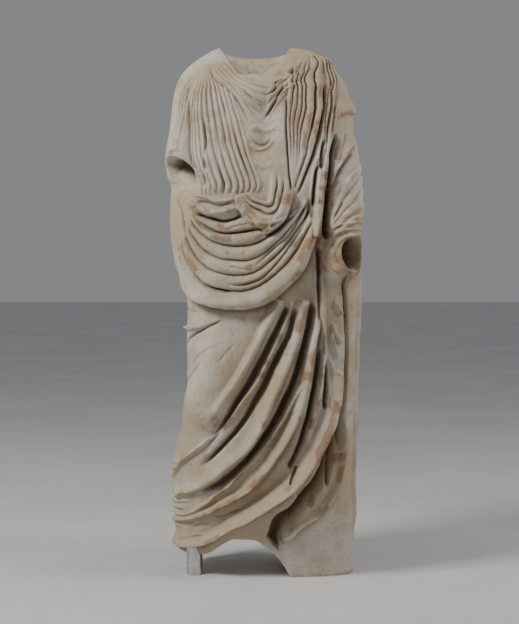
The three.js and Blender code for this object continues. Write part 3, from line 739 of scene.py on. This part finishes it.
# The rings are joined into one closed skin, which is thinned where the stone is plain.
KEPT_TRIANGLES = 190000
MM = 0.001
rod_low, rod_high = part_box("support_rod")
axis = np.array([
    (rod_low.x + rod_high.x) / 2 - ROD_FROM_AXIS[0] * MM,
    (rod_low.y + rod_high.y) / 2 - ROD_FROM_AXIS[1] * MM,
    0,
])
ring_count, column_count = rings.shape[:2]
points = np.vstack([rings.reshape(-1, 3), foot_middle, neck_middle]) * MM + axis
index = np.arange(ring_count * column_count).reshape(ring_count, column_count)
beside = np.roll(index, -1, 1)
quads = np.stack([index[:-1], beside[:-1], beside[1:], index[1:]], -1).reshape(-1, 4)
closing = np.arange(ring_count * column_count, len(points))
below = np.stack([np.full(column_count, closing[0]), beside[0], index[0]], -1)
above = np.stack([np.full(column_count, closing[1]), index[-1], beside[-1]], -1)
corners = np.concatenate([quads.ravel(), below.ravel(), above.ravel()]).astype(np.int32)
sizes = np.repeat([4, 3], [len(quads), 2 * column_count])
starts = np.append(0, np.cumsum(sizes)[:-1]).astype(np.int32)
skin_mesh = bpy.data.meshes.new("carved_marble")
skin_mesh.vertices.add(len(points))
skin_mesh.vertices.foreach_set("co", points.astype(np.float32).ravel())
skin_mesh.loops.add(len(corners))
skin_mesh.loops.foreach_set("vertex_index", corners)
skin_mesh.polygons.add(len(starts))
skin_mesh.polygons.foreach_set("loop_start", starts)
skin_mesh.update(calc_edges=True)
marble = bpy.data.objects.new("carved_marble", skin_mesh)
bpy.context.collection.objects.link(marble)
bpy.context.view_layer.objects.active = marble
marble.select_set(True)


def keep_on_skin(name, values):
    """Stores a value of the carving at each point of the marble, for its material."""
    whole = np.zeros(len(points), np.float32)
    first = index[FOOT_RINGS, 0]
    whole[first:first + values.size] = values.ravel()
    skin_mesh.attributes.new(name, "FLOAT", "POINT").data.foreach_set("value", whole)


# The crease mask carries painted shade to the material.
keep_on_skin("crease_shade", crease_shade)
# The recess mask carries painted shade to the material.
keep_on_skin("recess_shade", recess_shade)
keep_on_skin("broken", broken)
thin = marble.modifiers.new("thin", "DECIMATE")
thin.ratio = KEPT_TRIANGLES / (2 * column_count * ring_count)
bpy.ops.object.modifier_apply(modifier=thin.name)
bpy.ops.object.shade_smooth()

stone = bpy.data.materials.new("weathered_marble_with_painted_shade")
stone.use_nodes = True
nodes, links = stone.node_tree.nodes, stone.node_tree.links
shader = nodes["Principled BSDF"]
shader.inputs["IOR"].default_value = 1.5
shader.inputs["Specular IOR Level"].default_value = 0.35
place = nodes.new("ShaderNodeTexCoord").outputs["Object"]


def speckle(scale, detail=4, roughness=0.6, distortion=0.0):
    """Noise on the stone, that many features to the metre."""
    node = nodes.new("ShaderNodeTexNoise")
    node.inputs["Scale"].default_value = scale
    node.inputs["Detail"].default_value = detail
    node.inputs["Roughness"].default_value = roughness
    node.inputs["Distortion"].default_value = distortion
    links.new(place, node.inputs["Vector"])
    return node.outputs["Fac"]


def ramp(value, low, high, to_low=0.0, to_high=1.0):
    """Maps a value from one range to another."""
    node = nodes.new("ShaderNodeMapRange")
    node.interpolation_type = "SMOOTHSTEP"
    for name, number in (("From Min", low), ("From Max", high), ("To Min", to_low), ("To Max", to_high)):
        node.inputs[name].default_value = number
    links.new(value, node.inputs["Value"])
    return node.outputs["Result"]


def times(a, b):
    node = nodes.new("ShaderNodeMath")
    node.operation = "MULTIPLY"
    for value, where in ((a, node.inputs[0]), (b, node.inputs[1])):
        if isinstance(value, float):
            where.default_value = value
        else:
            links.new(value, where)
    return node.outputs[0]


def stored(name):
    node = nodes.new("ShaderNodeAttribute")
    node.attribute_name = name
    return node.outputs["Fac"]


def lay_colour(below, colour, mask):
    """Lays a colour over what is below it, as far as the mask lets it."""
    node = nodes.new("ShaderNodeMix")
    node.data_type = "RGBA"
    for value, where in ((mask, node.inputs["Factor"]), (below, node.inputs["A"])):
        if isinstance(value, tuple):
            where.default_value = value
        else:
            links.new(value, where)
    node.inputs["B"].default_value = colour
    return node.outputs["Result"]


WARM_BEIGE = (0.46, 0.37, 0.26, 1)
PALE_GREY = (0.56, 0.52, 0.45, 1)
# The honey brown is the stone's own patchy tone, and is also painted shade in the broad recesses.
HONEY_TONE_AND_SHADE = (0.36, 0.26, 0.15, 1)
# The dark earth brown marks small pits, and is also painted shade in the narrow creases.
PIT_AND_SHADE_BROWN = (0.13, 0.085, 0.045, 1)
RUST = (0.30, 0.17, 0.09, 1)
colour = lay_colour(WARM_BEIGE, PALE_GREY, ramp(speckle(5, 5), 0.42, 0.62))
colour = lay_colour(colour, HONEY_TONE_AND_SHADE, times(ramp(speckle(9, 6, 0.7), 0.5, 0.72), 0.55))
# Painted shade: honey brown in the broad recesses, where shadow falls.
colour = lay_colour(colour, HONEY_TONE_AND_SHADE, times(stored("recess_shade"), 0.65))
# Painted shade: deep brown in the narrow creases, where shadow falls.
colour = lay_colour(colour, PIT_AND_SHADE_BROWN, times(stored("crease_shade"), 0.75))
colour = lay_colour(colour, RUST, times(stored("broken"), 0.8))
colour = lay_colour(colour, PIT_AND_SHADE_BROWN, times(ramp(speckle(160, 3), 0.64, 0.72), 0.45))
links.new(colour, shader.inputs["Base Color"])
links.new(ramp(speckle(40, 5), 0.3, 0.7, 0.55, 0.85), shader.inputs["Roughness"])


def bump(height, distance, below=None):
    node = nodes.new("ShaderNodeBump")
    node.inputs["Distance"].default_value = distance
    links.new(height, node.inputs["Height"])
    if below is not None:
        links.new(below, node.inputs["Normal"])
    return node.outputs["Normal"]


surface = bump(speckle(90, 6, 0.7), 0.004)
surface = bump(ramp(speckle(260, 3), 0.62, 0.7, 1.0, 0.0), 0.0015, surface)
links.new(surface, shader.inputs["Normal"])
marble.data.materials.clear()
marble.data.materials.append(stone)
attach(marble, "root")
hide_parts("marble_statue")

# ---- The support rod ----
# A polished steel bar set into the underside of the broken right-hand hem, standing on the floor.
steel = bpy.data.materials.new("polished_steel")
steel.use_nodes = True
nodes, links = steel.node_tree.nodes, steel.node_tree.links
shader = nodes["Principled BSDF"]
shader.inputs["Metallic"].default_value = 1
place = nodes.new("ShaderNodeTexCoord").outputs["Object"]
colour = lay_colour((0.62, 0.62, 0.63, 1), (0.5, 0.5, 0.5, 1), ramp(speckle(30, 3), 0.4, 0.7))
links.new(colour, shader.inputs["Base Color"])
links.new(ramp(speckle(60, 4), 0.3, 0.7, 0.16, 0.3), shader.inputs["Roughness"])
links.new(bump(speckle(900, 2), 0.0002), shader.inputs["Normal"])
rod_radius = (rod_high.x - rod_low.x) / 2
bpy.ops.mesh.primitive_cylinder_add(
    vertices=96,
    radius=rod_radius,
    depth=rod_high.z - rod_low.z,
    location=(rod_low + rod_high) / 2,
)
rod = bpy.context.object
rod.name = "steel_rod"
bpy.ops.object.transform_apply(location=True)
edge = rod.modifiers.new("edge", "BEVEL")
edge.width = 0.0012
edge.segments = 3
edge.limit_method = "ANGLE"
bpy.ops.object.modifier_apply(modifier=edge.name)
bpy.ops.object.shade_smooth_by_angle(angle=math.radians(35))
rod.data.materials.append(steel)
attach(rod, "root")
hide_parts("support_rod")

# ---- The floor ----
# A plain pale floor, smooth and a little uneven in tone.
FLOOR_WIDTH = 40
pale = bpy.data.materials.new("pale_floor")
pale.use_nodes = True
nodes, links = pale.node_tree.nodes, pale.node_tree.links
shader = nodes["Principled BSDF"]
place = nodes.new("ShaderNodeTexCoord").outputs["Object"]
colour = lay_colour((0.60, 0.60, 0.61, 1), (0.66, 0.66, 0.66, 1), ramp(speckle(1.5, 3), 0.35, 0.65))
links.new(colour, shader.inputs["Base Color"])
links.new(ramp(speckle(20, 3), 0.3, 0.7, 0.45, 0.6), shader.inputs["Roughness"])
bpy.ops.mesh.primitive_plane_add(size=FLOOR_WIDTH, location=(0, 0, 0))
floor = bpy.context.object
floor.name = "floor"
floor.data.materials.append(pale)
floor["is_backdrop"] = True

# ---- Light ----
# A large soft key from the figure's right, a smaller one from its left, and pale air all round.
world = bpy.data.worlds.new("studio")
world.use_nodes = True
world.node_tree.nodes["Background"].inputs["Color"].default_value = (0.8, 0.82, 0.85, 1)
world.node_tree.nodes["Background"].inputs["Strength"].default_value = 0.3
bpy.context.scene.world = world
AIM = Vector((0, 0, 0.9))
for name, place, size, power, colour in [
    ("key", (-2.6, -1.6, 3.0), 0.9, 130, (1, 0.97, 0.92)),
    ("rim", (2.4, -0.6, 2.4), 0.8, 40, (1, 0.95, 0.9)),
]:
    bpy.ops.object.light_add(type="AREA", location=place)
    light = bpy.context.object
    light.name = name
    light.data.size = size
    light.data.energy = power
    light.data.color = colour
    light.rotation_euler = (AIM - light.location).to_track_quat("-Z", "Y").to_euler()

# ---- Camera ----
# It stands level with the figure's chest, straight in front of it.
CAMERA_HEIGHT = 0.912
CAMERA_AWAY = 3.8
LENS = 75.58
SHIFT = (-0.0072, -0.0962)
bpy.ops.object.camera_add(
    location=(axis[0], axis[1] - CAMERA_AWAY, CAMERA_HEIGHT), rotation=(math.pi / 2, 0, 0)
)
camera = bpy.context.object
camera.data.sensor_width = 36
camera.data.lens = LENS
camera.data.shift_x, camera.data.shift_y = SHIFT
bpy.context.scene.camera = camera

sizes = {"cad": [list(corner) for corner in cad_bounds], "visual": [list(corner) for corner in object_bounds()]}
